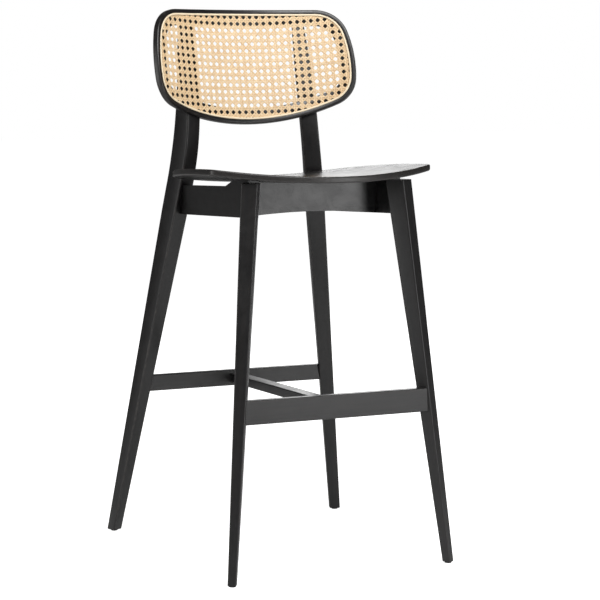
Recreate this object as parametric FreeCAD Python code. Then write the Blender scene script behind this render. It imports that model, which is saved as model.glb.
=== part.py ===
"""Bar stool with a footrest: splayed solid-wood frame, dished plywood seat, bent cane back.

Millimetres.  +Z is up, the floor is Z = 0 and the origin is the middle of the feet on the floor.
The sitter faces -Y, so the front legs are at -Y and the back is at +Y.  The stool is symmetric
about the plane X = 0; "left" is the -X side.
"""
import FreeCAD
import Part
import math
import os

V = FreeCAD.Vector

# ---------------------------------------------------------------- overall and shared dimensions
SEAT_HEIGHT = 757.0          # floor to the middle of the seat's upper face
SEAT_SLOPE = 2.6             # degrees the seat and aprons fall towards the back
GLIDE_THICKNESS = 3.0        # plastic glide under each foot; the legs start at this height

# ---------------------------------------------------------------- front legs
FRONT_FOOT_X = 232.0         # middle of the foot from the plane of symmetry
FRONT_FOOT_Y = 280.0         # middle of the foot in front of the origin
FRONT_TOP_X = 157.7          # middle of the sawn top from the plane of symmetry
FRONT_TOP_Y = 202.9          # middle of the sawn top in front of the origin
FRONT_LEG_TURN = 30.5        # degrees the leg's front face is turned outward
FRONT_LEG_TOP = SEAT_HEIGHT - 3.0  # height of the sawn top
FRONT_FOOT_WIDTH = 17.0
FRONT_FOOT_DEPTH = 17.5
FRONT_TOP_WIDTH = 32.5
FRONT_TOP_DEPTH = 42.0

# ---------------------------------------------------------------- rear legs, which carry the back
REAR_FOOT_X = 258.4
REAR_FOOT_Y = 279.7
REAR_LEG_TURN = 20.0         # degrees the leg's front face is turned inward, square to the back
KNEE_HEIGHT = SEAT_HEIGHT + 84.0   # where the lower and the upper straight parts would meet
KNEE_X = 135.3
KNEE_BLEND = 110.0           # half height of the smooth bend around the knee
POST_TOP = SEAT_HEIGHT + 322.0
POST_TOP_X = 126.2
POST_LET_IN = 9.0            # how deep the back is housed in the post
# (height, width across the front face, depth) where the rear leg's taper changes
REAR_FOOT_SIZE = (GLIDE_THICKNESS, 22.7, 21.8)
REAR_BELOW_SEAT = (SEAT_HEIGHT - 52.0, 38.0, 43.0)
REAR_THICKEST = (SEAT_HEIGHT + 48.0, 35.2, 44.4)
REAR_ABOVE_KNEE = (SEAT_HEIGHT + 128.0, 35.0, 38.2)
REAR_NECK = (SEAT_HEIGHT + 218.0, 32.5, 28.0)
REAR_TOP_SIZE = (POST_TOP, 22.0, 19.5)
LEG_EDGE_RADIUS = 3.0
STRAIGHT_SECTIONS = 6        # sections the leg is lofted through below its bend
BENT_SECTIONS = 12           # and from there to the top

# ---------------------------------------------------------------- seat panel
SEAT_WIDTH = 484.0
SEAT_DEPTH = 407.0
SEAT_FRONT_Y = -273.0        # foremost point of the seat
SEAT_WIDEST = 160.0          # from the front edge to the widest line
SEAT_SIDE_RADIUS = 480.0
SEAT_FRONT_RADIUS = 393.0
SEAT_REAR_RADIUS = 919.0
SEAT_FRONT_CORNER = 26.0
SEAT_REAR_CORNER = 76.0
SEAT_THICKNESS = 12.5
SEAT_DISH_RADIUS = 1465.0    # radius of the dish across the seat
SEAT_EDGE_RADIUS = 3.0

# ---------------------------------------------------------------- aprons
APRON_THICKNESS = 20.0
SIDE_APRON_HEIGHT = 59.0     # at its relieved middle
SIDE_APRON_FRONT_X = 161.5   # outer face at SIDE_APRON_FRONT_Y
SIDE_APRON_FRONT_Y = -185.0
SIDE_APRON_REAR_X = 154.5    # outer face at SIDE_APRON_REAR_Y
SIDE_APRON_REAR_Y = 150.0
APRON_BOTTOM = SEAT_HEIGHT - 70.0  # lower edge of the side aprons at SIDE_APRON_FRONT_Y
APRON_RELIEF_START = -84.0   # where the side apron starts to rise to the seat
APRON_RELIEF_END = -124.0    # where it reaches the seat
APRON_STEP = 12.0            # height of that rise before it is shaped to the seat
FRONT_APRON_Y = -141.0       # front face of the front apron
REAR_APRON_Y = 92.0          # front face of the rear apron
APRON_ARCH_RISE = 7.0        # rise of the arched lower edge
REAR_APRON_HEIGHT = 35.0     # low, so that the gap under the seat stays open to the back
BEARER_X = 38.0              # middle of each block that stands on the rear apron and carries the seat
BEARER_WIDTH = 30.0

# ---------------------------------------------------------------- stretchers
STRETCHER_THICKNESS = 17.0
FOOTREST_TOP = 347.5
FOOTREST_HEIGHT = 46.5
FOOTREST_OUTSET = 13.0       # front face of the footrest in front of the middle of the front legs
REAR_STRETCHER_TOP = 332.0
REAR_STRETCHER_HEIGHT = 33.0
REAR_STRETCHER_OUTSET = 4.9  # front face of the rear stretcher in front of the middle of the rear legs
CENTRE_STRETCHER_WIDTH = 29.0
CENTRE_STRETCHER_HEIGHT = 18.5
STRETCHER_EDGE_RADIUS = 2.0

# ---------------------------------------------------------------- curved back panel
# The outline is given for the flat panel, before it is bent round an upright cylinder.
BACK_WIDTH = 468.0           # measured along the bend
BACK_HEIGHT = 240.0          # along the slope
BACK_BOTTOM_HEIGHT = SEAT_HEIGHT + 97.0  # floor to the middle of the lower edge
BACK_BOTTOM_Y = 151.0        # front face at the middle of the lower edge
BACK_LEAN = 13.3             # degrees from upright
BACK_BEND_RADIUS = 369.0     # of the front face
BACK_WIDEST = 109.5          # from the lower edge to the widest line
BACK_SIDE_RADIUS = 262.0
BACK_TOP_RADIUS = 1670.0
BACK_TOP_CORNER = 73.5
BACK_BOTTOM_RADIUS = 612.0
BACK_BOTTOM_CORNER = 62.0
BACK_THICKNESS = 13.4
BACK_RIM = 8.8               # rim outside the cane
BACK_FRAME_WIDTH = 32.0      # rim and the rebated part the cane lies on
CANE_REBATE = 3.2
CANE_THICKNESS = 1.2
SPLINE_WIDTH = 4.0
SPLINE_PROUD = 0.6
POINTS_PER_ARC = 8           # points the bent outline passes through on each of its arcs

# ---------------------------------------------------------------- hidden joinery and fixings
DOWEL_DIAMETER = 8.0
DOWEL_LENGTH = 32.0
DOWEL_END_GAP = 1.0          # room left at each end of a dowel hole
DOWEL_IN_BOARD = 12.0        # depth of a dowel in a board it meets face on
APRON_DOWEL_SPACING = 32.0
REAR_APRON_DOWEL_SPACING = 16.0
FOOTREST_DOWEL_SPACING = 24.0
REAR_STRETCHER_DOWEL_SPACING = 15.0
CENTRE_DOWEL_SPACING = 14.0
CORNER_BLOCK_LEG = 40.0      # length of a corner block along each apron
FRONT_BLOCK_LIFT = 23.0      # lower face of a corner block above the aprons' lower edge
FRONT_BLOCK_HEIGHT = 50.0    # before it is shaped to the seat
REAR_BLOCK_LIFT = 6.0
REAR_BLOCK_HEIGHT = 28.0
BLOCK_SIDE_SCREW_RISE = 21.5    # screws of a corner block, above the block's lower face
BLOCK_CROSS_SCREW_RISE = 11.5
SCREW_TIP = 4.0
# shank diameter, head diameter, length
SEAT_SCREW = (4.5, 9.0, 50.0)
BLOCK_SCREW = (4.0, 8.0, 30.0)
BACK_LOWER_SCREW = (4.5, 9.0, 32.0)
BACK_UPPER_SCREW = (4.0, 7.5, 15.0)
SCREW_IN_SEAT = 8.5          # how far each seat screw runs into the seat
SCREW_IN_BACK = 8.0          # how far each back screw runs into the back frame
BLOCK_SCREW_IN_APRON = 14.0
BACK_SCREW_INSET = 15.0      # screw centre from the back's lower or upper edge
PLUG_RADIUS = 5.0
GLIDE_RADIUS = 7.0
GLIDE_EDGE = 0.8
GLIDE_NAIL_DIAMETER = 2.0
GLIDE_NAIL_LENGTH = 16.0

SIDES = (("left", -1), ("right", 1))


def turned(side, turn):
    """Level directions across and out of a leg's front face that is turned outward by turn degrees."""
    angle = math.radians(turn)
    across = V(math.cos(angle), side * math.sin(angle), 0)
    outward = V(side * math.sin(angle), -math.cos(angle), 0)
    return across, outward


def section_corners(middle, across, outward, width, depth):
    """The four corners of a rectangular section."""
    half_w = across * (width / 2)
    half_d = outward * (depth / 2)
    rear, front = middle - half_d, middle + half_d
    return [rear - half_w, rear + half_w, front + half_w, front - half_w]


def flat_face(points):
    """A flat face with straight sides."""
    return Part.Face(Part.makePolygon(points + points[:1]))


def cylinder_between(start, end, radius):
    """A round bar from one point to another."""
    return Part.makeCylinder(radius, (end - start).Length, start, end - start)


def largest_solid(shape):
    """The biggest of the pieces a cut leaves."""
    return max(shape.Solids, key=lambda solid: solid.Volume)


def front_leg_middle(z):
    """Distances of the front leg's middle from the origin, across and forward, at a height."""
    share = (z - GLIDE_THICKNESS) / (FRONT_LEG_TOP - GLIDE_THICKNESS)
    x = FRONT_FOOT_X + (FRONT_TOP_X - FRONT_FOOT_X) * share
    return x, FRONT_FOOT_Y + (FRONT_TOP_Y - FRONT_FOOT_Y) * share


def front_leg(side):
    """Tapered, splayed front leg with softened edges, its face turned outward."""
    across, outward = turned(side, FRONT_LEG_TURN)
    rise = FRONT_LEG_TOP - GLIDE_THICKNESS
    foot_middle = V(side * FRONT_FOOT_X, -FRONT_FOOT_Y, GLIDE_THICKNESS)
    top_middle = V(side * FRONT_TOP_X, -FRONT_TOP_Y, FRONT_LEG_TOP)
    foot = section_corners(foot_middle, across, outward, FRONT_FOOT_WIDTH, FRONT_FOOT_DEPTH)
    top = section_corners(top_middle, across, outward, FRONT_TOP_WIDTH, FRONT_TOP_DEPTH)
    faces = [flat_face(foot), flat_face(top)]
    for i in range(4):
        j = (i + 1) % 4
        faces.append(flat_face([foot[i], foot[j], top[j], top[i]]))
    leg = Part.Solid(Part.Shell(faces))
    long_edges = [e for e in leg.Edges if abs(e.Vertexes[0].Z - e.Vertexes[-1].Z) > rise / 2]
    return leg.makeFillet(LEG_EDGE_RADIUS, long_edges)


def between(low, high, value, i):
    """Value of entry i at a height between two stations whose first entry is the height."""
    return low[i] + (high[i] - low[i]) * (value - low[0]) / (high[0] - low[0])


def rear_leg_size(z):
    """Width and depth of the rear leg's section at a height."""
    stations = [REAR_FOOT_SIZE, REAR_BELOW_SEAT, REAR_THICKEST, REAR_ABOVE_KNEE, REAR_NECK, REAR_TOP_SIZE]
    for low, high in zip(stations, stations[1:]):
        if z <= high[0]:
            break
    return between(low, high, z, 1), between(low, high, z, 2)


def back_rear_face_y(x, z):
    """Y of the curved back's rear face at a level section."""
    radius = BACK_BEND_RADIUS + BACK_THICKNESS
    sag = radius - math.sqrt(radius ** 2 - x ** 2)
    lean = math.radians(BACK_LEAN)
    return BACK_BOTTOM_Y + (z - BACK_BOTTOM_HEIGHT) * math.tan(lean) + (BACK_THICKNESS - sag) / math.cos(lean)


def upper_post_middle(z):
    """Middle of the post where it lies against the curved back."""
    x = KNEE_X + (POST_TOP_X - KNEE_X) * (z - KNEE_HEIGHT) / (POST_TOP - KNEE_HEIGHT)
    reach = rear_leg_size(z)[1] / 2 - POST_LET_IN
    turn = math.radians(REAR_LEG_TURN)
    touch_x = x - reach * math.sin(turn)
    return x, back_rear_face_y(touch_x, z) + reach * math.cos(turn)


def rear_leg_middle(z):
    """Middle of the rear leg at a height: straight, a smooth bend round the knee, straight."""
    if z >= KNEE_HEIGHT + KNEE_BLEND:
        return upper_post_middle(z)
    knee = upper_post_middle(KNEE_HEIGHT)
    bend_end = upper_post_middle(KNEE_HEIGHT + KNEE_BLEND)
    foot = (REAR_FOOT_X, REAR_FOOT_Y)
    into_bend = max(0.0, z - KNEE_HEIGHT + KNEE_BLEND)
    middle = []
    for at_foot, at_knee, at_end in zip(foot, knee, bend_end):
        lower_slope = (at_knee - at_foot) / (KNEE_HEIGHT - GLIDE_THICKNESS)
        upper_slope = (at_end - at_knee) / KNEE_BLEND
        straight = at_foot + lower_slope * (z - GLIDE_THICKNESS)
        middle.append(straight + (upper_slope - lower_slope) * into_bend ** 2 / (4 * KNEE_BLEND))
    return middle


def rounded_section(corners, radius):
    """Closed wire through four corners, each rounded."""
    edges = []
    count = len(corners)
    points = []
    for i in range(count):
        here = corners[i]
        back = (corners[i - 1] - here).normalize()
        on = (corners[(i + 1) % count] - here).normalize()
        inward = (back + on) * radius
        points.append((here + back * radius, here + inward - inward / math.sqrt(2), here + on * radius))
    for i in range(count):
        start, middle, end = points[i]
        edges.append(Part.Arc(start, middle, end).toShape())
        edges.append(Part.LineSegment(end, points[(i + 1) % count][0]).toShape())
    return Part.Wire(edges)


def rear_leg(side):
    """Rear leg: tapered and splayed to the seat, then bent up to carry the back."""
    across, outward = turned(side, -REAR_LEG_TURN)
    bend_start = KNEE_HEIGHT - KNEE_BLEND
    below = bend_start - GLIDE_THICKNESS
    above = POST_TOP - bend_start
    heights = [GLIDE_THICKNESS + below * i / STRAIGHT_SECTIONS for i in range(STRAIGHT_SECTIONS)]
    heights += [bend_start + above * i / BENT_SECTIONS for i in range(BENT_SECTIONS + 1)]
    wires = []
    for z in heights:
        x, y = rear_leg_middle(z)
        width, depth = rear_leg_size(z)
        corners = section_corners(V(side * x, y, z), across, outward, width, depth)
        wires.append(rounded_section(corners, LEG_EDGE_RADIUS))
    return Part.makeLoft(wires, True, False)


def fillet_centre(first, first_radius, second, second_radius, radius):
    """Centre, on the +X side, of a circle that touches two larger circles from inside."""
    gap = second - first
    a = first_radius - radius
    b = second_radius - radius
    along = (a ** 2 - b ** 2 + gap.Length ** 2) / (2 * gap.Length)
    off = math.sqrt(a ** 2 - along ** 2)
    unit = V(gap).normalize()
    normal = V(-unit.y, unit.x, 0)
    ends = [first + unit * along + normal * off, first + unit * along - normal * off]
    return max(ends, key=lambda p: p.x)


def five_arc_outline(half_width, widest, length, side_r, far_r, far_corner, near_r, near_corner, inset):
    """Half outline as arcs (centre, radius, start, end), from the middle of the far edge to the near edge.

    The outline is symmetric about X = 0; the near edge crosses it at Y = 0, the far edge at Y = length.
    """
    side_c = V(half_width - side_r, widest, 0)
    far_c = V(0, length - far_r, 0)
    near_c = V(0, near_r, 0)
    far_fillet = fillet_centre(far_c, far_r, side_c, side_r, far_corner)
    near_fillet = fillet_centre(near_c, near_r, side_c, side_r, near_corner)
    rings = [(far_c, far_r), (far_fillet, far_corner), (side_c, side_r)]
    rings += [(near_fillet, near_corner), (near_c, near_r)]
    joints = [V(0, length - inset, 0)]
    for large, small in ((0, 1), (2, 1), (2, 3), (4, 3)):
        centre, radius = rings[large]
        direction = V(rings[small][0] - centre).normalize()
        joints.append(centre + direction * (radius - inset))
    joints.append(V(0, inset, 0))
    return [(c, r - inset, joints[i], joints[i + 1]) for i, (c, r) in enumerate(rings)]


def arc_point(arc, share):
    """Point a share of the way along an outline arc."""
    centre, radius, start, end = arc
    a = math.atan2(start.y - centre.y, start.x - centre.x)
    b = math.atan2(end.y - centre.y, end.x - centre.x)
    angle = a + (b - a) * share
    return centre + V(math.cos(angle), math.sin(angle), 0) * radius


def outline_wire(arcs, place):
    """Closed wire of the arcs and their mirror images, each point moved by place."""
    edges = []
    for mirror in (1, -1):
        for arc in arcs:
            points = []
            for share in (0.0, 0.5, 1.0):
                p = arc_point(arc, share)
                points.append(place(V(p.x * mirror, p.y, 0)))
            edges.append(Part.Arc(*points).toShape())
    return Part.Wire(Part.__sortEdges__(edges))


def seat_space(extra):
    """The round-bottomed space above the seat's upper face (extra = 0) or above a lower parallel face."""
    radius = SEAT_DISH_RADIUS + extra
    length = 4 * SEAT_DEPTH
    slope = math.radians(SEAT_SLOPE)
    along = V(0, math.cos(slope), -math.sin(slope))
    above = V(0, math.sin(slope), math.cos(slope))
    middle = V(0, SEAT_FRONT_Y + SEAT_DEPTH / 2, SEAT_HEIGHT)
    start = middle + above * SEAT_DISH_RADIUS - along * (length / 2)
    return Part.makeCylinder(radius, length, start, along)


def seat_under_height(x, y):
    """Height of the seat's lower face at a place."""
    rise = SEAT_DISH_RADIUS - math.sqrt(SEAT_DISH_RADIUS ** 2 - x ** 2)
    return SEAT_HEIGHT - SEAT_THICKNESS + rise + slope_shift(y, SEAT_FRONT_Y + SEAT_DEPTH / 2)


def slope_shift(y, y0):
    """How much a line falling with the seat changes in height from y0 to y."""
    return -(y - y0) * math.tan(math.radians(SEAT_SLOPE))


def seat_outline(inset):
    """Arcs of the seat's plan outline, the near edge being the front."""
    return five_arc_outline(SEAT_WIDTH / 2, SEAT_WIDEST, SEAT_DEPTH, SEAT_SIDE_RADIUS, SEAT_REAR_RADIUS,
                            SEAT_REAR_CORNER, SEAT_FRONT_RADIUS, SEAT_FRONT_CORNER, inset)


def seat_panel():
    """Plywood seat dished across its width, with softened edges."""
    base = SEAT_HEIGHT - 3 * SEAT_THICKNESS
    wire = outline_wire(seat_outline(0), lambda p: p + V(0, SEAT_FRONT_Y, base))
    prism = Part.Face(wire).extrude(V(0, 0, 8 * SEAT_THICKNESS))
    panel = prism.common(seat_space(SEAT_THICKNESS)).cut(seat_space(0)).Solids[0]
    edges = []
    for face in panel.Faces:
        if face.Surface.TypeId == "Part::GeomCylinder" and face.Surface.Radius > 0.9 * SEAT_DISH_RADIUS:
            edges += face.OuterWire.Edges
    return panel.makeFillet(SEAT_EDGE_RADIUS, edges)


def side_apron_face(side):
    """Outer face of a side apron: a point on it at a given Y, and its outward direction."""
    run = SIDE_APRON_REAR_Y - SIDE_APRON_FRONT_Y
    narrowing = (SIDE_APRON_FRONT_X - SIDE_APRON_REAR_X) / run
    outward = V(side, narrowing, 0).normalize()

    def point(y, z):
        return V(side * (SIDE_APRON_FRONT_X - narrowing * (y - SIDE_APRON_FRONT_Y)), y, z)

    return point, outward


def side_board(side, relieved):
    """Blank of a side apron, as high as the seat or relieved on top behind its front end."""
    point, outward = side_apron_face(side)
    front_y = -FRONT_TOP_Y
    rear_y = rear_leg_middle(SEAT_HEIGHT)[1]
    low = APRON_BOTTOM
    top = APRON_BOTTOM + SIDE_APRON_HEIGHT if relieved else SEAT_HEIGHT + SIDE_APRON_HEIGHT
    high = SEAT_HEIGHT + SIDE_APRON_HEIGHT
    profile = []
    for y, z in ((front_y, low), (rear_y, low), (rear_y, top), (APRON_RELIEF_START, top),
                 (APRON_RELIEF_END, top + APRON_STEP), (APRON_RELIEF_END, high), (front_y, high)):
        profile.append(point(y, z + slope_shift(y, SIDE_APRON_FRONT_Y)))
    return flat_face(profile).extrude(outward * -APRON_THICKNESS)


def side_apron(side, legs):
    """Side apron between a front and a rear leg: relieved on top, stepped up to the seat at the front."""
    board = side_board(side, True).cut(seat_space(SEAT_THICKNESS))
    for leg in legs:
        board = board.cut(leg)
    return largest_solid(board)


def apron_bottom(y):
    """Height of the aprons' lower edge at a given Y."""
    return APRON_BOTTOM + slope_shift(y, SIDE_APRON_FRONT_Y)


def cross_apron(front_y, top):
    """Front or rear apron: arched lower edge, no higher than top or the seat, between the side aprons."""
    reach = SIDE_APRON_FRONT_X + APRON_THICKNESS
    low = apron_bottom(front_y)
    half = SIDE_APRON_FRONT_X - APRON_THICKNESS
    left, crown, right = V(-half, front_y, low), V(0, front_y, low + APRON_ARCH_RISE), V(half, front_y, low)
    arch = Part.Arc(left, crown, right).toShape()
    outline = [(half, low), (reach, low), (reach, top), (-reach, top), (-reach, low), (-half, low)]
    outer = Part.makePolygon([V(x, front_y, z) for x, z in outline])
    board = Part.Face(Part.Wire([arch] + outer.Edges)).extrude(V(0, APRON_THICKNESS, 0))
    board = board.cut(seat_space(SEAT_THICKNESS))
    for name, side in SIDES:
        board = board.cut(side_board(side, False))
    return min(board.Solids, key=lambda s: abs(s.CenterOfMass.x))


def rear_apron_top():
    """Height of the rear apron's upper edge."""
    return apron_bottom(REAR_APRON_Y) + REAR_APRON_HEIGHT


def seat_bearer(side):
    """Block that stands on the rear apron and carries the back of the seat."""
    low = rear_apron_top()
    corner = V(side * BEARER_X - BEARER_WIDTH / 2, REAR_APRON_Y, low)
    block = Part.makeBox(BEARER_WIDTH, APRON_THICKNESS, SEAT_HEIGHT - low, corner)
    return largest_solid(block.cut(seat_space(SEAT_THICKNESS)))


def stretcher(front_y, top, height, reach, legs):
    """Cross rail with softened edges, shouldered against the two legs whose middles are at reach."""
    rail = Part.makeBox(2 * reach, STRETCHER_THICKNESS, height, V(-reach, front_y, top - height))
    long_edges = [e for e in rail.Edges if e.Length > reach]
    rail = rail.makeFillet(STRETCHER_EDGE_RADIUS, long_edges)
    for leg in legs:
        rail = rail.cut(leg)
    return min(rail.Solids, key=lambda s: abs(s.CenterOfMass.x))


def stretcher_middle(top, height):
    """Mid-height of a stretcher."""
    return top - height / 2


def footrest_front_y():
    """Front face of the footrest, which is carried by the front legs."""
    return -front_leg_middle(stretcher_middle(FOOTREST_TOP, FOOTREST_HEIGHT))[1] - FOOTREST_OUTSET


def rear_stretcher_front_y():
    """Front face of the rear stretcher, which is carried by the rear legs."""
    height = stretcher_middle(REAR_STRETCHER_TOP, REAR_STRETCHER_HEIGHT)
    return rear_leg_middle(height)[1] - REAR_STRETCHER_OUTSET


def centre_stretcher(cross_rails):
    """Flat rail running back from the footrest to the rear stretcher, at the middle of both."""
    front_z = stretcher_middle(FOOTREST_TOP, FOOTREST_HEIGHT)
    rear_z = stretcher_middle(REAR_STRETCHER_TOP, REAR_STRETCHER_HEIGHT)
    start = V(0, footrest_front_y() + STRETCHER_THICKNESS / 2, front_z)
    end = V(0, rear_stretcher_front_y() + STRETCHER_THICKNESS / 2, rear_z)
    section = section_corners(start, V(1, 0, 0), V(0, 0, 1), CENTRE_STRETCHER_WIDTH, CENTRE_STRETCHER_HEIGHT)
    rail = flat_face(section).extrude(end - start)
    long_edges = [e for e in rail.Edges if e.Length > CENTRE_STRETCHER_WIDTH * 2]
    rail = rail.makeFillet(STRETCHER_EDGE_RADIUS, long_edges)
    for other in cross_rails:
        rail = rail.cut(other)
    return largest_solid(rail)


def back_outline(inset):
    """Arcs of the flat panel's outline; the near edge is the lower one."""
    return five_arc_outline(BACK_WIDTH / 2, BACK_WIDEST, BACK_HEIGHT, BACK_SIDE_RADIUS, BACK_TOP_RADIUS,
                            BACK_TOP_CORNER, BACK_BOTTOM_RADIUS, BACK_BOTTOM_CORNER, inset)


def bent_wire(inset, depth):
    """The flat outline wrapped round the bend, at a depth behind the front face."""
    radius = BACK_BEND_RADIUS + depth
    points = []
    for mirror in (1, -1):
        for arc in back_outline(inset)[::mirror]:
            for step in range(POINTS_PER_ARC):
                share = step / POINTS_PER_ARC if mirror == 1 else 1 - step / POINTS_PER_ARC
                p = arc_point(arc, share)
                angle = mirror * p.x / BACK_BEND_RADIUS
                points.append(V(radius * math.sin(angle), radius * math.cos(angle) - BACK_BEND_RADIUS, p.y))
    curve = Part.BSplineCurve()
    curve.interpolate(points, PeriodicFlag=True)
    return curve.toShape()


def bent_sheet(inset, front_depth, rear_depth):
    """Part of the bent panel between two depths, inside the outline moved in by inset."""
    margin = BACK_THICKNESS
    height = BACK_HEIGHT + 2 * margin
    base = V(0, -BACK_BEND_RADIUS, -margin)
    sheet = Part.makeCylinder(BACK_BEND_RADIUS + rear_depth, height, base)
    sheet = sheet.cut(Part.makeCylinder(BACK_BEND_RADIUS + front_depth, height, base))
    depth = BACK_BEND_RADIUS + 3 * margin
    rear_half = Part.makeBox(2 * BACK_WIDTH, depth, height, base - V(BACK_WIDTH, 0, 0))
    sheet = sheet.common(rear_half).Solids[0]
    wall = Part.makeRuledSurface(bent_wire(inset, -2 * margin), bent_wire(inset, 3 * margin))
    pieces = sheet.generalFuse([wall])[0].Solids
    middle = V(0, (front_depth + rear_depth) / 2, BACK_HEIGHT / 2)
    return min(pieces, key=lambda s: s.distToShape(Part.Vertex(middle))[0])


def lean_back(shape):
    """Moves the panel from its own upright frame to its leaning place on the stool."""
    shape = shape.copy()
    shape.rotate(V(0, 0, 0), V(1, 0, 0), -BACK_LEAN)
    shape.translate(V(0, BACK_BOTTOM_Y, BACK_BOTTOM_HEIGHT))
    return shape


def back_frame():
    """Bent plywood ring with a rebate in its front face for the cane."""
    ring = bent_sheet(0, 0, BACK_THICKNESS)
    ring = ring.cut(bent_sheet(BACK_RIM, -BACK_THICKNESS, CANE_REBATE))
    ring = ring.cut(bent_sheet(BACK_FRAME_WIDTH, 0, 2 * BACK_THICKNESS))
    return lean_back(ring.Solids[0])


def cane_panel():
    """Woven cane sheet lying in the rebate of the back."""
    return lean_back(bent_sheet(BACK_RIM, CANE_REBATE - CANE_THICKNESS, CANE_REBATE))


def cane_spline():
    """Reed spline that covers the cut edge of the cane all round."""
    ring = bent_sheet(BACK_RIM, -SPLINE_PROUD, CANE_REBATE - CANE_THICKNESS)
    ring = ring.cut(bent_sheet(BACK_RIM + SPLINE_WIDTH, -2 * SPLINE_PROUD, CANE_REBATE))
    return lean_back(ring.Solids[0])


def dowel_hole(start, end):
    """Hole for a dowel, a little longer than the dowel at each end."""
    step = (end - start).normalize() * DOWEL_END_GAP
    return cylinder_between(start - step, end + step, DOWEL_DIAMETER / 2)


def dowel(start, end):
    """Beech dowel with chamfered ends."""
    peg = cylinder_between(start, end, DOWEL_DIAMETER / 2)
    return peg.makeChamfer(DOWEL_DIAMETER / 8, [e for e in peg.Edges if e.Curve.TypeId == "Part::GeomCircle"])


def wood_screw(head, direction, sizes):
    """Countersunk wood screw with its head's face at head, driven along direction."""
    shank, head_width, length = sizes
    head_depth = (head_width - shank) / 2
    radius = shank / 2
    profile = [(0, 0), (head_width / 2, 0), (radius, head_depth), (radius, length - SCREW_TIP), (0, length)]
    screw = flat_face([V(r, 0, z) for r, z in profile]).revolve(V(0, 0, 0), V(0, 0, 1), 360)
    screw.Placement = FreeCAD.Placement(head, FreeCAD.Rotation(V(0, 0, 1), direction))
    return screw


def screw_pocket(head, direction, sizes):
    """Hole that lets a screw's head down to its place in a corner block."""
    return cylinder_between(head - direction * CORNER_BLOCK_LEG, head, sizes[1] / 2)


def entry_point(start, end, solid):
    """Where a straight line first enters a solid."""
    inside = Part.LineSegment(start, end).toShape().common(solid)
    return min([v.Point for v in inside.Vertexes], key=lambda p: (p - start).Length)


def pair(middle, offset):
    """The two points at plus and minus half an offset from a middle point."""
    return [middle + offset * 0.5, middle - offset * 0.5]


def joint_dowels(start, direction, spread, solid, depth):
    """Two dowels through the joint where lines from start enter a solid, reaching depth into it."""
    spans = []
    for base in pair(start, spread):
        entry = entry_point(base, base + direction * (REAR_FOOT_X + REAR_FOOT_Y), solid)
        tip = entry + direction * depth
        spans.append((tip - direction * DOWEL_LENGTH, tip))
    return spans


def apron_dowel_spans(legs, side_aprons):
    """Both ends of every dowel in the apron joints."""
    spans = []
    rise = V(0, 0, APRON_DOWEL_SPACING)
    low_rise = V(0, 0, REAR_APRON_DOWEL_SPACING)
    half = DOWEL_LENGTH / 2
    for name, side in SIDES:
        point, outward = side_apron_face(side)
        for reach_y, leg in ((-1, legs["front_leg_" + name]), (1, legs["rear_leg_" + name])):
            end_y = SIDE_APRON_FRONT_Y if reach_y < 0 else SIDE_APRON_REAR_Y
            start_y = end_y - reach_y * DOWEL_LENGTH
            level = apron_bottom(end_y) + SIDE_APRON_HEIGHT / 2
            start = point(start_y, level) - outward * (APRON_THICKNESS / 2)
            along = (point(end_y, 0) - point(start_y, 0)).normalize()
            spans += joint_dowels(start, along, rise, leg, half)
        apron = side_aprons["side_apron_" + name]
        for front_y, height, spread in ((FRONT_APRON_Y, SIDE_APRON_HEIGHT, rise),
                                        (REAR_APRON_Y, REAR_APRON_HEIGHT, low_rise)):
            start = V(0, front_y + APRON_THICKNESS / 2, apron_bottom(front_y) + height / 2)
            spans += joint_dowels(start, V(side, 0, 0), spread, apron, DOWEL_IN_BOARD)
    return spans


def stretcher_dowel_spans(legs, footrest, rear_rail):
    """Both ends of every dowel in the stretcher joints."""
    spans = []
    half = DOWEL_LENGTH / 2
    front_y, rear_y = footrest_front_y(), rear_stretcher_front_y()
    rails = (("front_leg_", front_y, FOOTREST_TOP, FOOTREST_HEIGHT, FOOTREST_DOWEL_SPACING),
             ("rear_leg_", rear_y, REAR_STRETCHER_TOP, REAR_STRETCHER_HEIGHT,
              REAR_STRETCHER_DOWEL_SPACING))
    for leg, face_y, top, height, spacing in rails:
        start = V(0, face_y + STRETCHER_THICKNESS / 2, stretcher_middle(top, height))
        for name, side in SIDES:
            spans += joint_dowels(start, V(side, 0, 0), V(0, 0, spacing), legs[leg + name], half)
    front_z = stretcher_middle(FOOTREST_TOP, FOOTREST_HEIGHT)
    rear_z = stretcher_middle(REAR_STRETCHER_TOP, REAR_STRETCHER_HEIGHT)
    along = V(0, rear_y - front_y, rear_z - front_z).normalize()
    across = V(CENTRE_DOWEL_SPACING, 0, 0)
    middle_y = (rear_y + front_y + STRETCHER_THICKNESS) / 2
    middle = V(0, middle_y, (front_z + rear_z) / 2)
    spans += joint_dowels(middle, -along, across, footrest, DOWEL_IN_BOARD)
    spans += joint_dowels(middle, along, across, rear_rail, DOWEL_IN_BOARD)
    return spans


def block_corner(side, front_y, facing):
    """Inner corner of a side apron and a cross apron, level with the aprons' lower edge.

    facing is +1 where the block lies behind the cross apron and -1 where it lies in front of it.
    """
    corner_y = front_y + (APRON_THICKNESS if facing > 0 else 0)
    point, outward = side_apron_face(side)
    return point(corner_y, apron_bottom(corner_y)) - outward * APRON_THICKNESS, outward


def corner_block(side, front_y, facing, cross, lift, height):
    """Three-cornered glue block in the angle of two aprons, lift above their lower edge."""
    corner, outward = block_corner(side, front_y, facing)
    overlap = APRON_THICKNESS / 2
    beyond = corner + V(side * overlap, -facing * overlap, lift)
    size = CORNER_BLOCK_LEG + 2 * overlap
    triangle = [beyond, beyond + V(0, facing * size, 0), beyond - V(side * size, 0, 0)]
    block = flat_face(triangle).extrude(V(0, 0, height))
    block = block.cut(seat_space(SEAT_THICKNESS))
    return largest_solid(block.cut(side_board(side, False)).cut(cross))


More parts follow.
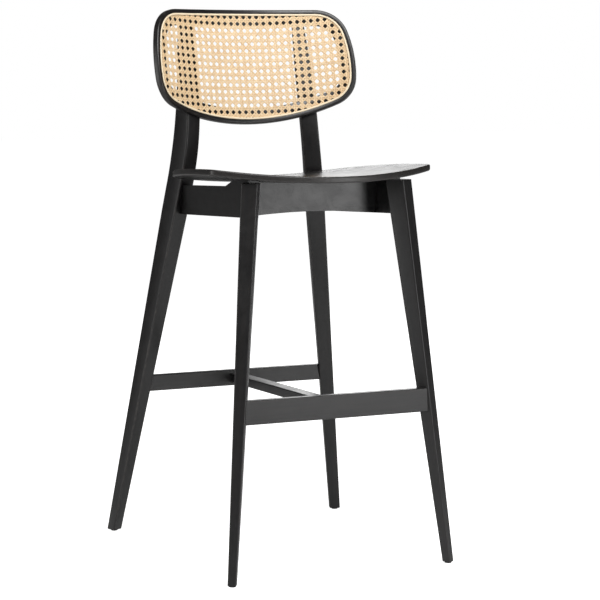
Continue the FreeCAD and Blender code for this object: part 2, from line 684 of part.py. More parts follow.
def block_fixings(side, front_y, facing, lift):
    """The two apron screws of a corner block, one above the other: head point and direction of each."""
    corner, outward = block_corner(side, front_y, facing)
    half = CORNER_BLOCK_LEG / 2
    reach = BLOCK_SCREW[2] - BLOCK_SCREW_IN_APRON
    into_side = corner + V(0, facing * half, lift + BLOCK_SIDE_SCREW_RISE) - outward * reach
    into_cross = corner + V(-side * half, facing * reach, lift + BLOCK_CROSS_SCREW_RISE)
    return (into_side, outward), (into_cross, V(0, -facing, 0))


def seat_fixings(side):
    """The seat screw through a front corner block and the one through a bearer: head point of each."""
    corner, outward = block_corner(side, FRONT_APRON_Y, 1)
    quarter = CORNER_BLOCK_LEG / 4
    heads = [corner + V(-side * quarter, quarter, 0)]
    heads.append(V(side * BEARER_X, REAR_APRON_Y + APRON_THICKNESS / 2, 0))
    for head in heads:
        head.z = seat_under_height(head.x, head.y) + SCREW_IN_SEAT - SEAT_SCREW[2]
    return heads


def back_screw_lines():
    """Points on the back frame's rear face, with the direction forward into it: lower and upper ones."""
    radius = BACK_BEND_RADIUS + BACK_THICKNESS
    edge_rise = BACK_BOTTOM_RADIUS - math.sqrt(BACK_BOTTOM_RADIUS ** 2 - KNEE_X ** 2)
    turn = FreeCAD.Rotation(V(1, 0, 0), -BACK_LEAN)
    place = V(0, BACK_BOTTOM_Y, BACK_BOTTOM_HEIGHT)
    rows = []
    for rise in (edge_rise + BACK_SCREW_INSET, BACK_HEIGHT - BACK_SCREW_INSET):
        level = BACK_BOTTOM_HEIGHT + rise * math.cos(math.radians(BACK_LEAN))
        to_front_face = math.sin(math.radians(REAR_LEG_TURN)) * rear_leg_size(level)[1] / 2
        x = upper_post_middle(level)[0] - to_front_face
        angle = math.asin(x / radius)
        row = []
        for name, side in SIDES:
            on_face = V(side * x, radius * math.cos(angle) - BACK_BEND_RADIUS, rise)
            forward = V(-side * math.sin(angle), -math.cos(angle), 0)
            row.append((turn.multVec(on_face) + place, turn.multVec(forward)))
        rows.append(row)
    return rows


def back_fixings(lines, sizes, post_of):
    """Screws through the posts into the back frame, the holes they need and the plugs over their heads."""
    screws, plugs = [], []
    for on_face, forward in lines:
        head = on_face - forward * (sizes[2] - SCREW_IN_BACK)
        screws.append(wood_screw(head, forward, sizes))
        plug = cylinder_between(head - forward * REAR_THICKEST[2], head, PLUG_RADIUS)
        plugs.append(largest_solid(plug.common(post_of(head))))
    return screws, plugs


def glide(foot_x, foot_y):
    """Round glide pad and the nail moulded into it."""
    pad = Part.makeCylinder(GLIDE_RADIUS, GLIDE_THICKNESS, V(foot_x, foot_y, 0))
    pad = pad.makeFillet(GLIDE_EDGE, [e for e in pad.Edges if e.BoundBox.ZMax < GLIDE_THICKNESS / 2])
    nail_head = V(foot_x, foot_y, GLIDE_THICKNESS / 2)
    nail = Part.makeCylinder(GLIDE_NAIL_DIAMETER / 2, GLIDE_NAIL_LENGTH, nail_head)
    return pad.cut(nail), nail


def cut_where_near(piece, tools):
    """Cuts from a piece the tools whose bounding boxes meet its own."""
    near = [tool for tool in tools if piece.BoundBox.intersect(tool.BoundBox)]
    return largest_solid(piece.cut(near)) if near else piece


def build():
    """Every named piece, cut to fit its neighbours."""
    pieces = {}
    legs = {}
    for name, side in SIDES:
        legs["front_leg_" + name] = front_leg(side)
        legs["rear_leg_" + name] = rear_leg(side)
    pieces["back_frame"] = back_frame()
    pieces["cane_panel"] = cane_panel()
    pieces["cane_spline"] = cane_spline()
    for name, side in SIDES:
        legs["rear_leg_" + name] = largest_solid(legs["rear_leg_" + name].cut(pieces["back_frame"]))
    pieces.update(legs)

    side_aprons = {}
    for name, side in SIDES:
        near_legs = [legs["front_leg_" + name], legs["rear_leg_" + name]]
        side_aprons["side_apron_" + name] = side_apron(side, near_legs)
    pieces.update(side_aprons)
    pieces["front_apron"] = cross_apron(FRONT_APRON_Y, SEAT_HEIGHT)
    pieces["rear_apron"] = cross_apron(REAR_APRON_Y, rear_apron_top())
    for name, side in SIDES:
        pieces["seat_bearer_" + name] = seat_bearer(side)
    all_legs = list(legs.values())
    footrest_reach = front_leg_middle(stretcher_middle(FOOTREST_TOP, FOOTREST_HEIGHT))[0]
    footrest = stretcher(footrest_front_y(), FOOTREST_TOP, FOOTREST_HEIGHT, footrest_reach, all_legs)
    rear_reach = rear_leg_middle(stretcher_middle(REAR_STRETCHER_TOP, REAR_STRETCHER_HEIGHT))[0]
    rear_rail = stretcher(rear_stretcher_front_y(), REAR_STRETCHER_TOP, REAR_STRETCHER_HEIGHT, rear_reach,
                          all_legs)
    cross_rails = [footrest, rear_rail]
    pieces["footrest_stretcher"] = footrest
    pieces["rear_stretcher"] = rear_rail
    pieces["centre_stretcher"] = centre_stretcher(cross_rails)
    pieces["seat_panel"] = seat_panel()

    holes = []
    groups = {}
    apron_spans = apron_dowel_spans(legs, side_aprons)
    stretcher_spans = stretcher_dowel_spans(legs, *cross_rails)
    holes += [dowel_hole(start, end) for start, end in apron_spans + stretcher_spans]
    groups["apron_dowels"] = [dowel(start, end) for start, end in apron_spans]
    groups["stretcher_dowels"] = [dowel(start, end) for start, end in stretcher_spans]

    groups["seat_screws"] = []
    groups["corner_block_screws"] = []
    pockets = []
    corners = (("front", FRONT_APRON_Y, 1, FRONT_BLOCK_LIFT, FRONT_BLOCK_HEIGHT),
               ("rear", REAR_APRON_Y, -1, REAR_BLOCK_LIFT, REAR_BLOCK_HEIGHT))
    for name, side in SIDES:
        for end_name, front_y, facing, lift, height in corners:
            cross = pieces[end_name + "_apron"]
            block = corner_block(side, front_y, facing, cross, lift, height)
            pieces["corner_block_" + end_name + "_" + name] = block
            for head, direction in block_fixings(side, front_y, facing, lift):
                groups["corner_block_screws"].append(wood_screw(head, direction, BLOCK_SCREW))
                pockets.append(screw_pocket(head, direction, BLOCK_SCREW))
        for head in seat_fixings(side):
            groups["seat_screws"].append(wood_screw(head, V(0, 0, 1), SEAT_SCREW))
            pockets.append(screw_pocket(head, V(0, 0, 1), SEAT_SCREW))

    def post_of(point):
        return legs["rear_leg_left"] if point.x < 0 else legs["rear_leg_right"]

    lower, upper = back_screw_lines()
    groups["back_lower_screws"], lower_plugs = back_fixings(lower, BACK_LOWER_SCREW, post_of)
    groups["back_upper_screws"], upper_plugs = back_fixings(upper, BACK_UPPER_SCREW, post_of)
    groups["back_screw_plugs"] = lower_plugs + upper_plugs

    groups["glide_pads"] = []
    groups["glide_nails"] = []
    for side in (-1, 1):
        for foot in ((side * FRONT_FOOT_X, -FRONT_FOOT_Y), (side * REAR_FOOT_X, REAR_FOOT_Y)):
            pad, nail = glide(*foot)
            groups["glide_pads"].append(pad)
            groups["glide_nails"].append(nail)

    driven = [name for name in groups if "screw" in name or "nail" in name]
    fixings = [solid for name in driven for solid in groups[name]]
    wooden = [name for name in pieces if not name.startswith("cane")]
    for name in wooden:
        tools = holes + fixings
        if name.startswith("corner_block") or name == "rear_apron":
            tools = tools + pockets
        pieces[name] = cut_where_near(pieces[name], tools)
    for name, solids in groups.items():
        pieces[name] = Part.makeCompound(solids)
    return pieces


os.makedirs("parts", exist_ok=True)
for piece_name, piece_shape in build().items():
    piece_shape.exportStep(os.path.join("parts", piece_name + ".step"))
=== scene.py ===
"""Looks of a bar stool with a footrest: black lacquered beech, moulded seat, bent back of woven cane.

Metres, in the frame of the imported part: +Z is up, the floor is Z = 0 and the sitter faces -Y.
"""
import math
import random

import bmesh
import bpy
from mathutils import Matrix, Vector


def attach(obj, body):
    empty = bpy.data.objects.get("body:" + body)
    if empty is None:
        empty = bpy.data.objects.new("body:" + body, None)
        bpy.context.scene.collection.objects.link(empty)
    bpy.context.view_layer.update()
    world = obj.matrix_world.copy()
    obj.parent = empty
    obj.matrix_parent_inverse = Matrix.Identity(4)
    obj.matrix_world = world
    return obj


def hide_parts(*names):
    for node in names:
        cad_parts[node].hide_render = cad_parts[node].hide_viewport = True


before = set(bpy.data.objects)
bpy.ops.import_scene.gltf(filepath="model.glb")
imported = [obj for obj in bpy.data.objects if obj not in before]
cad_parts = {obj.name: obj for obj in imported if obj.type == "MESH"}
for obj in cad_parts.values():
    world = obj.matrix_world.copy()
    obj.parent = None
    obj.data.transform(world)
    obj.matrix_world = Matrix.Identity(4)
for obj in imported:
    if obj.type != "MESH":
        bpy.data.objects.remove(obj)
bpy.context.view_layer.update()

# ---------------------------------------------------------------- front legs
# Solid beech, tapered towards the foot on all four faces and splayed both ways.  Sawn, planed and
# rounded along the edges, then sprayed with satin black lacquer that leaves the pores faintly open.
MM = 0.001
FRONT_SPLAY_X = math.radians(5.65)
FRONT_SPLAY_Y = math.radians(5.86)
SAWN_EDGE = 0.6 * MM
SHARP = math.radians(34)
FLAT_FACE_AREA = 60 * MM * MM
BLACK = (0.0046, 0.0043, 0.0047, 1.0)
BLACK_WARM = (0.0100, 0.0086, 0.0080, 1.0)
# Lighter brown: a painted edge highlight laid in rub-like patches on the rounded edges, and the colour of the
# seat's veneer lines.
LIGHTER_BROWN = (0.060, 0.050, 0.043, 1.0)


def socket(group, name, kind, default=None, out=False):
    """A named input or output of a node group."""
    made = group.interface.new_socket(name=name, in_out="OUTPUT" if out else "INPUT", socket_type=kind)
    if default is not None:
        made.default_value = default
    return made


class Maker:
    """Short way to place shader nodes and join them up."""

    def __init__(self, tree):
        self.tree = tree

    def add(self, kind, settings=None, **inputs):
        made = self.tree.nodes.new("ShaderNode" + kind)
        for name, value in (settings or {}).items():
            setattr(made, name, value)
        for name, value in inputs.items():
            self.feed(made, name.replace("_", " "), value)
        return made

    def feed(self, made, name, value):
        target = made.inputs[int(name[1:])] if name[0] == "i" and name[1:].isdigit() else made.inputs[name]
        if isinstance(value, bpy.types.NodeSocket):
            self.tree.links.new(value, target)
        else:
            target.default_value = value

    def math(self, operation, first, second=0.0, third=0.0, clamp=False):
        made = self.add("Math", {"operation": operation, "use_clamp": clamp}, i0=first, i1=second, i2=third)
        return made.outputs[0]

    def mix(self, factor, first, second):
        made = self.add("Mix", {"data_type": "RGBA"}, i0=factor, i6=first, i7=second)
        return made.outputs[2]

    def ramp(self, value, low, high, to_low=0.0, to_high=1.0):
        made = self.add("MapRange", {"interpolation_type": "SMOOTHSTEP"}, Value=value, From_Min=low,
                        From_Max=high, To_Min=to_low, To_Max=to_high)
        return made.outputs[0]


def grain_group():
    """Beech: fine growth bands and short flecks that run along the piece."""
    group = bpy.data.node_groups.new("beech_grain", "ShaderNodeTree")
    socket(group, "Band width mm", "NodeSocketFloat", 5.0)
    socket(group, "Fleck width mm", "NodeSocketFloat", 0.35)
    socket(group, "Bands", "NodeSocketFloat", out=True)
    socket(group, "Flecks", "NodeSocketFloat", out=True)
    m = Maker(group)
    given = group.nodes.new("NodeGroupInput")
    result = group.nodes.new("NodeGroupOutput")
    place = m.add("Attribute", {"attribute_name": "grain"}).outputs["Vector"]
    for name, stretch, detail, low, high in (("Band width mm", 0.045, 3.0, 0.36, 0.66),
                                             ("Fleck width mm", 0.09, 1.0, 0.62, 0.74)):
        per_metre = m.math("DIVIDE", 1000.0, given.outputs[name])
        along = m.math("MULTIPLY", per_metre, stretch)
        scale = m.add("CombineXYZ", X=per_metre, Y=per_metre, Z=along).outputs[0]
        spot = m.add("VectorMath", {"operation": "MULTIPLY"}, i0=place, i1=scale).outputs[0]
        noise = m.add("TexNoise", Vector=spot, Scale=1.0, Detail=detail, Roughness=0.55, Distortion=0.3)
        group.links.new(m.ramp(noise.outputs[0], low, high),
                        result.inputs["Bands" if "Band" in name else "Flecks"])
    return group


def film_group():
    """Sprayed lacquer: orange peel, settled dust, handling marks, and a painted sheen on the rounded edges
    laid in patches like a thin, rubbed film.
    """
    group = bpy.data.node_groups.new("lacquer_film", "ShaderNodeTree")
    socket(group, "Peel size mm", "NodeSocketFloat", 1.6)
    socket(group, "Edge wear", "NodeSocketFloat", 0.5)
    socket(group, "Peel", "NodeSocketFloat", out=True)
    socket(group, "Marks", "NodeSocketFloat", out=True)
    socket(group, "Sheen and wear", "NodeSocketFloat", out=True)
    m = Maker(group)
    given = group.nodes.new("NodeGroupInput")
    result = group.nodes.new("NodeGroupOutput")
    place = m.add("Attribute", {"attribute_name": "grain"}).outputs["Vector"]
    edge = m.add("Attribute", {"attribute_name": "edge"}).outputs["Fac"]
    per_metre = m.math("DIVIDE", 1000.0, given.outputs["Peel size mm"])
    peel = m.add("TexNoise", Vector=place, Scale=per_metre, Detail=2.0, Roughness=0.5)
    marks = m.add("TexNoise", Vector=place, Scale=28.0, Detail=5.0, Roughness=0.65, Distortion=0.8)
    # Painted edge highlight: patches along the rounded edges, shaped like rubbed-through film, that lighten
    # the colour as sheen would.
    sheen_and_wear_noise = m.add("TexNoise", Vector=place, Scale=75.0, Detail=4.0, Roughness=0.7)
    sheen_and_wear_mask = m.math("MULTIPLY", m.ramp(sheen_and_wear_noise.outputs[0], 0.40, 0.72), edge)
    group.links.new(peel.outputs[0], result.inputs["Peel"])
    group.links.new(m.ramp(marks.outputs[0], 0.35, 0.70), result.inputs["Marks"])
    group.links.new(m.math("MULTIPLY", sheen_and_wear_mask, given.outputs["Edge wear"]), result.inputs["Sheen and wear"])
    return group


beech_grain = grain_group()
lacquer_film = film_group()


def place_group(m, group, **values):
    """A node group placed in a material, with its own values."""
    made = m.add("Group", {"node_tree": group})
    for name, value in values.items():
        made.inputs[name.replace("_", " ")].default_value = value
    return made.outputs


def new_material(name):
    """An empty node material with its Principled shader, ready to be fed."""
    made = bpy.data.materials.new(name)
    made.use_nodes = True
    return made, Maker(made.node_tree), made.node_tree.nodes["Principled BSDF"]


def black_lacquer(name, roughness, warm=0.5, sheen_and_wear_amount=0.5, grain_depth=1.0, ply=False):
    """Satin black lacquer over wood: the grain telegraphs through, and the rounded edges carry a painted
    sheen, lighter in patches like a thinly covered, rubbed film.
    """
    made, m, shader = new_material(name)
    grain = place_group(m, beech_grain, Band_width_mm=5.5, Fleck_width_mm=0.4)
    film = place_group(m, lacquer_film, Peel_size_mm=1.8, Edge_wear=sheen_and_wear_amount)
    bands = m.math("MULTIPLY", grain["Bands"], warm)
    colour = m.mix(bands, BLACK, BLACK_WARM)
    # Painted edge highlight: the rounded edges are lightened towards brown in rub-like patches, standing for
    # sheen as well as wear.
    colour = m.mix(film["Sheen and wear"], colour, LIGHTER_BROWN)
    gloss = m.math("MULTIPLY_ADD", film["Marks"], 0.07, roughness)
    gloss = m.math("MULTIPLY_ADD", grain["Flecks"], 0.09, gloss)
    peel = m.math("MULTIPLY", film["Peel"], 0.35)
    height = m.math("MULTIPLY_ADD", grain["Flecks"], -0.9 * grain_depth, peel)
    height = m.math("MULTIPLY_ADD", grain["Bands"], 0.35 * grain_depth, height)
    if ply:
        depth = m.add("Attribute", {"attribute_name": "ply"}).outputs["Fac"]
        layer = m.math("SINE", m.math("MULTIPLY", depth, 2 * math.pi / VENEER))
        on_edge = m.add("Attribute", {"attribute_name": "side"}).outputs["Fac"]
        lines = m.math("MULTIPLY", m.ramp(layer, 0.2, 1.0), on_edge)
        colour = m.mix(m.math("MULTIPLY", lines, 0.35), colour, LIGHTER_BROWN)
        height = m.math("MULTIPLY_ADD", lines, 1.4, height)
    bump = m.add("Bump", Strength=0.30, Distance=0.10 * MM, Height=height)
    m.feed(shader, "Base Color", colour)
    m.feed(shader, "Roughness", gloss)
    m.feed(shader, "Normal", bump.outputs[0])
    m.feed(shader, "Specular IOR Level", 0.5)
    m.feed(shader, "Coat Weight", 0.15)
    m.feed(shader, "Coat Roughness", 0.25)
    return made


frame_black = black_lacquer("black_lacquered_beech", 0.33)


def per_vertex(mesh, name, values):
    """Stores one number for each vertex."""
    mesh.attributes.new(name, "FLOAT", "POINT").data.foreach_set("value", values)


def grain_vectors(mesh, along, shift):
    """Stores where each vertex lies in the piece's own plank: across, through and along the grain."""
    along = along.normalized()
    through = along.orthogonal().normalized()
    across = along.cross(through)
    flat = []
    for vertex in mesh.vertices:
        p = vertex.co
        flat += [p.dot(across) + shift, p.dot(through) - shift, p.dot(along) + 3 * shift]
    mesh.attributes.new("grain", "FLOAT_VECTOR", "POINT").data.foreach_set("vector", flat)


def edge_shares(mesh):
    """Stores on each face how far it is turned away from the flats beside it: 1 on a rounded edge."""
    flats = [f.normal.copy() for f in mesh.polygons if f.area > FLAT_FACE_AREA]
    values = []
    for face in mesh.polygons:
        nearest = max((n.dot(face.normal) for n in flats), default=1.0)
        turn = math.acos(max(-1.0, min(1.0, nearest)))
        values += [min(1.0, turn / math.radians(40))] * face.loop_total
    mesh.attributes.new("edge", "FLOAT", "CORNER").data.foreach_set("value", values)


def show(name, mesh, material, nodes):
    """Puts a finished mesh on the stool in place of its CAD nodes."""
    piece = bpy.data.objects.new(name, mesh)
    bpy.context.scene.collection.objects.link(piece)
    mesh.materials.clear()
    mesh.materials.append(material)
    mesh.shade_smooth()
    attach(piece, "root")
    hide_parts(*nodes)
    return piece


def finished_timber(node, name, along, shift, material=frame_black, edge=SAWN_EDGE):
    """A sawn piece as cut to its neighbours, with its sharp arrises eased and its grain laid along it."""
    bm = bmesh.new()
    bm.from_mesh(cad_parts[node].data)
    bmesh.ops.remove_doubles(bm, verts=bm.verts, dist=0.004 * MM)
    bmesh.ops.dissolve_limit(bm, angle_limit=math.radians(0.4), verts=bm.verts, edges=bm.edges)
    sharp = [e for e in bm.edges if e.is_manifold and e.calc_face_angle() > SHARP]
    bmesh.ops.bevel(bm, geom=sharp, offset=edge, segments=2, profile=0.5, affect="EDGES", clamp_overlap=True)
    mesh = bpy.data.meshes.new(name)
    bm.to_mesh(mesh)
    bm.free()
    grain_vectors(mesh, along, shift)
    edge_shares(mesh)
    piece = show(name, mesh, material, [node])
    even = piece.modifiers.new("even shading", "WEIGHTED_NORMAL")
    even.keep_sharp = True
    return piece


for side, name in ((-1, "left"), (1, "right")):
    lean = Vector((-side * math.tan(FRONT_SPLAY_X), math.tan(FRONT_SPLAY_Y), 1.0))
    finished_timber("front_leg_" + name, "front_leg_" + name, lean, 0.31 + 0.2 * side)

# ---------------------------------------------------------------- rear legs
# Each is band-sawn from one wide plank: splayed up to the seat, bent just above it, then a post
# that carries the back.  The grain runs straight with the lower part and crosses the post.
REAR_FOOT = (258.4, 279.7)
REAR_TURN = math.radians(20.0)
KNEE_X, KNEE_HEIGHT, KNEE_BLEND = 135.3, 841.0, 110.0
POST_TOP, POST_TOP_X, POST_LET_IN = 1079.0, 126.2, 9.0
LEG_ROUNDING = 3.0
CORNER_STEPS = 4
GLIDE_HEIGHT = 3.0
SECTIONS_BELOW, SECTIONS_ABOVE = 14, 60
TAPER_SOFTENING = 22.0
SOFTENING_STEPS = 4
END_EASING = 0.8
GRAIN_FORWARD = 110.0
BACK_BEND_MM, BACK_THICKNESS_MM = 369.0, 13.4
BACK_FOOT_Y, BACK_FOOT_Z, BACK_SLOPE = 151.0, 854.0, math.radians(13.3)
# Where the taper changes: height, width across the front face, depth.
REAR_SIZES = ((3.0, 22.7, 21.8), (705.0, 38.0, 43.0), (805.0, 35.2, 44.4), (885.0, 35.0, 38.2),
              (975.0, 32.5, 28.0), (1079.0, 22.0, 19.5))


def rear_size(z):
    """Width and depth of the rear leg at a height."""
    for low, high in zip(REAR_SIZES, REAR_SIZES[1:]):
        if z <= high[0]:
            break
    share = (z - low[0]) / (high[0] - low[0])
    return low[1] + (high[1] - low[1]) * share, low[2] + (high[2] - low[2]) * share


def smooth_size(z):
    """The same with the changes of taper softened."""
    spots = []
    for step in range(-SOFTENING_STEPS, SOFTENING_STEPS + 1):
        near = z + TAPER_SOFTENING * step / SOFTENING_STEPS
        spots.append(rear_size(min(max(near, GLIDE_HEIGHT), POST_TOP)))
    return sum(p[0] for p in spots) / len(spots), sum(p[1] for p in spots) / len(spots)


def post_middle(z):
    """Middle of the post, whose front is let into the curved back."""
    x = KNEE_X + (POST_TOP_X - KNEE_X) * (z - KNEE_HEIGHT) / (POST_TOP - KNEE_HEIGHT)
    reach = smooth_size(z)[1] / 2 - POST_LET_IN
    radius = BACK_BEND_MM + BACK_THICKNESS_MM
    sag = radius - math.sqrt(radius ** 2 - (x - reach * math.sin(REAR_TURN)) ** 2)
    face = BACK_FOOT_Y + (z - BACK_FOOT_Z) * math.tan(BACK_SLOPE)
    face += (BACK_THICKNESS_MM - sag) / math.cos(BACK_SLOPE)
    return x, face + reach * math.cos(REAR_TURN)


def rear_middle(z):
    """Middle of the rear leg: straight, a smooth bend round the knee, then along the back."""
    if z >= KNEE_HEIGHT + KNEE_BLEND:
        return post_middle(z)
    into_bend = max(0.0, z - KNEE_HEIGHT + KNEE_BLEND)
    middle = []
    for foot, knee, end in zip(REAR_FOOT, post_middle(KNEE_HEIGHT), post_middle(KNEE_HEIGHT + KNEE_BLEND)):
        lower = (knee - foot) / (KNEE_HEIGHT - GLIDE_HEIGHT)
        upper = (end - knee) / KNEE_BLEND
        middle.append(foot + lower * (z - GLIDE_HEIGHT) + (upper - lower) * into_bend ** 2 / (4 * KNEE_BLEND))
    return middle


def rear_ring(side, z, shrink=0.0):
    """Rounded section of the rear leg at a height, with how far each point is round a corner."""
    x, y = rear_middle(z)
    width, depth = smooth_size(z)
    across = Vector((math.cos(REAR_TURN), -side * math.sin(REAR_TURN), 0))
    outward = Vector((-side * math.sin(REAR_TURN), -math.cos(REAR_TURN), 0))
    points, shares = [], []
    r = LEG_ROUNDING
    for quarter_turn, (a, b) in enumerate(((1, 1), (-1, 1), (-1, -1), (1, -1))):
        for step in range(CORNER_STEPS + 1):
            angle = math.pi / 2 * (quarter_turn + step / CORNER_STEPS)
            u = a * (width / 2 - r) + (r - shrink) * math.cos(angle)
            v = b * (depth / 2 - r) + (r - shrink) * math.sin(angle)
            points.append((Vector((side * x, y, z)) + across * u + outward * v) * MM)
            shares.append(math.sin(math.pi * step / CORNER_STEPS))
    return points, shares


def ring_mesh(name, rings, closed=False, poles=False):
    """A skin over rings of equally many points: open, joined last to first, or closed by end points."""
    count = len(rings[0])
    points = [p for ring in rings for p in ring]
    faces = []
    last = len(rings) if closed else len(rings) - 1
    for i in range(last):
        low = i * count
        high = (i + 1) % len(rings) * count
        for k in range(count):
            n = (k + 1) % count
            faces.append((low + k, low + n, high + n, high + k))
    if poles:
        for ring_start, flip in ((0, True), ((len(rings) - 1) * count, False)):
            middle = sum((points[ring_start + k] for k in range(count)), Vector((0, 0, 0))) / count
            points.append(middle)
            for k in range(count):
                pair = (ring_start + k, ring_start + (k + 1) % count)
                faces.append((pair[1], pair[0], len(points) - 1) if flip else (*pair, len(points) - 1))
    mesh = bpy.data.meshes.new(name)
    mesh.from_pydata([tuple(p) for p in points], [], faces)
    mesh.update()
    return mesh


for side, name in ((-1, "left"), (1, "right")):
    bend_start = KNEE_HEIGHT - KNEE_BLEND
    below = [GLIDE_HEIGHT + (bend_start - GLIDE_HEIGHT) * i / SECTIONS_BELOW for i in range(SECTIONS_BELOW)]
    above = [bend_start + (POST_TOP - bend_start) * i / SECTIONS_ABOVE for i in range(SECTIONS_ABOVE + 1)]
    heights = below + above
    sections = [rear_ring(side, heights[0], END_EASING), rear_ring(side, heights[0] + END_EASING)]
    sections += [rear_ring(side, z) for z in heights[1:-1]]
    sections += [rear_ring(side, heights[-1] - END_EASING), rear_ring(side, heights[-1], END_EASING)]
    rings = [ring[::-side] for ring, shares in sections]
    leg = ring_mesh("rear_leg_" + name, rings, poles=True)
    shares = [share for ring, ring_shares in sections for share in ring_shares[::-side]]
    up = Vector((-side * (REAR_FOOT[0] - KNEE_X), -GRAIN_FORWARD, KNEE_HEIGHT))
    grain_vectors(leg, up, 0.73 + 0.2 * side)
    per_vertex(leg, "edge", shares + [0.0, 0.0])
    show("rear_leg_" + name, leg, frame_black, ["rear_leg_" + name])

# ---------------------------------------------------------------- aprons
# Four beech boards under the seat, dowelled to the legs and to each other.  The side boards step up
# to the seat at the front, the cross boards are shaped to its dish and arched along the lower edge.
SEAT_SLOPE = math.radians(2.6)
APRON_EDGE = 1.2 * MM
for side, name in ((-1, "left"), (1, "right")):
    finished_timber("side_apron_" + name, "side_apron_" + name, Vector((0, 1, -math.tan(SEAT_SLOPE))),
                    1.3 + 0.2 * side, edge=APRON_EDGE)
finished_timber("front_apron", "front_apron", Vector((1, 0, 0)), 1.9, edge=APRON_EDGE)
finished_timber("rear_apron", "rear_apron", Vector((1, 0, 0)), 2.2, edge=APRON_EDGE)

# ---------------------------------------------------------------- stretchers and footrest
# The footrest is a deep rail set on edge between the front legs, the rear rail is lighter, and a flat
# rail joins the middles of both.  All three are planed beech, dowelled and glued.
finished_timber("footrest_stretcher", "footrest_stretcher", Vector((1, 0, 0)), 2.7)
finished_timber("rear_stretcher", "rear_stretcher", Vector((1, 0, 0)), 3.1)
finished_timber("centre_stretcher", "centre_stretcher", Vector((0, 1, -0.032)), 3.4)

# ---------------------------------------------------------------- corner blocks
# Three-cornered beech blocks glued and screwed in the angles of the aprons, counterbored for the
# screws.  They hold the seat and are lacquered with the frame.
for number, name in enumerate(("front_left", "front_right", "rear_left", "rear_right")):
    finished_timber("corner_block_" + name, "corner_block_" + name, Vector((1, 0.3, 0)), 4.0 + 0.3 * number,
                    edge=0.4 * MM)

# ---------------------------------------------------------------- seat bearers
# Two short beech blocks that stand on the low rear apron and carry the back of the seat.  A screw runs
# up through the apron and each block into the seat.
for side, name in ((-1, "left"), (1, "right")):
    finished_timber("seat_bearer_" + name, "seat_bearer_" + name, Vector((1, 0, 0)), 4.9 + 0.1 * side,
                    edge=0.5 * MM)

# ---------------------------------------------------------------- seat
# Moulded beech plywood, dished across its width and cut to a rounded outline, with softened edges.
# Lacquered black like the frame; the veneers show faintly along the edge.
SEAT_MIDDLE_HEIGHT = 757.0 * MM
SEAT_FRONT_Y = -273.0 * MM
SEAT_DEPTH = 407.0 * MM
SEAT_THICKNESS = 12.5 * MM
SEAT_DISH = 1465.0 * MM
SEAT_SOFTENING = 3.0 * MM
VENEER = SEAT_THICKNESS / 9
SEAT_RADII = dict(half_width=242.0, widest=160.0, length=407.0, side=480.0, far=919.0, far_corner=76.0,
                  near=393.0, near_corner=26.0)
POINTS_PER_ARC = 14
EDGE_STEPS = 5


def touching(first, first_radius, second, second_radius, radius):
    """Centre, on the +X side, of a circle that touches two larger circles from inside."""
    gap = second - first
    a = first_radius - radius
    b = second_radius - radius
    along = (a * a - b * b + gap.length_squared) / (2 * gap.length)
    off = math.sqrt(a * a - along * along)
    unit = gap.normalized()
    normal = Vector((-unit.y, unit.x))
    return max((first + unit * along + normal * off, first + unit * along - normal * off), key=lambda p: p.x)


def rounded_outline(inset, half_width, widest, length, side, far, far_corner, near, near_corner):
    """Closed outline of five arcs and their mirror images, from the middle of the far edge, in metres."""
    side_c = Vector((half_width - side, widest))
    far_c = Vector((0, length - far))
    near_c = Vector((0, near))
    far_f = touching(far_c, far, side_c, side, far_corner)
    near_f = touching(near_c, near, side_c, side, near_corner)
    rings = [(far_c, far), (far_f, far_corner), (side_c, side), (near_f, near_corner), (near_c, near)]
    joints = [Vector((0, length))]
    for large, small in ((0, 1), (2, 1), (2, 3), (4, 3)):
        centre, radius = rings[large]
        joints.append(centre + (rings[small][0] - centre).normalized() * radius)
    joints.append(Vector((0, 0)))
    half = []
    for (centre, radius), start, end in zip(rings, joints, joints[1:]):
        a = math.atan2(start.y - centre.y, start.x - centre.x)
        b = math.atan2(end.y - centre.y, end.x - centre.x)
        for step in range(POINTS_PER_ARC):
            angle = a + (b - a) * step / POINTS_PER_ARC
            half.append(centre + Vector((math.cos(angle), math.sin(angle))) * (radius - inset / MM))
    half.append(Vector((0, inset / MM)))
    return [p * MM for p in half] + [Vector((-p.x, p.y)) * MM for p in reversed(half[1:-1])]


def seat_height(x, y):
    """Height of the seat's upper face."""
    rise = SEAT_DISH - math.sqrt(SEAT_DISH ** 2 - x * x)
    return SEAT_MIDDLE_HEIGHT + rise - (y - SEAT_FRONT_Y - SEAT_DEPTH / 2) * math.tan(SEAT_SLOPE)


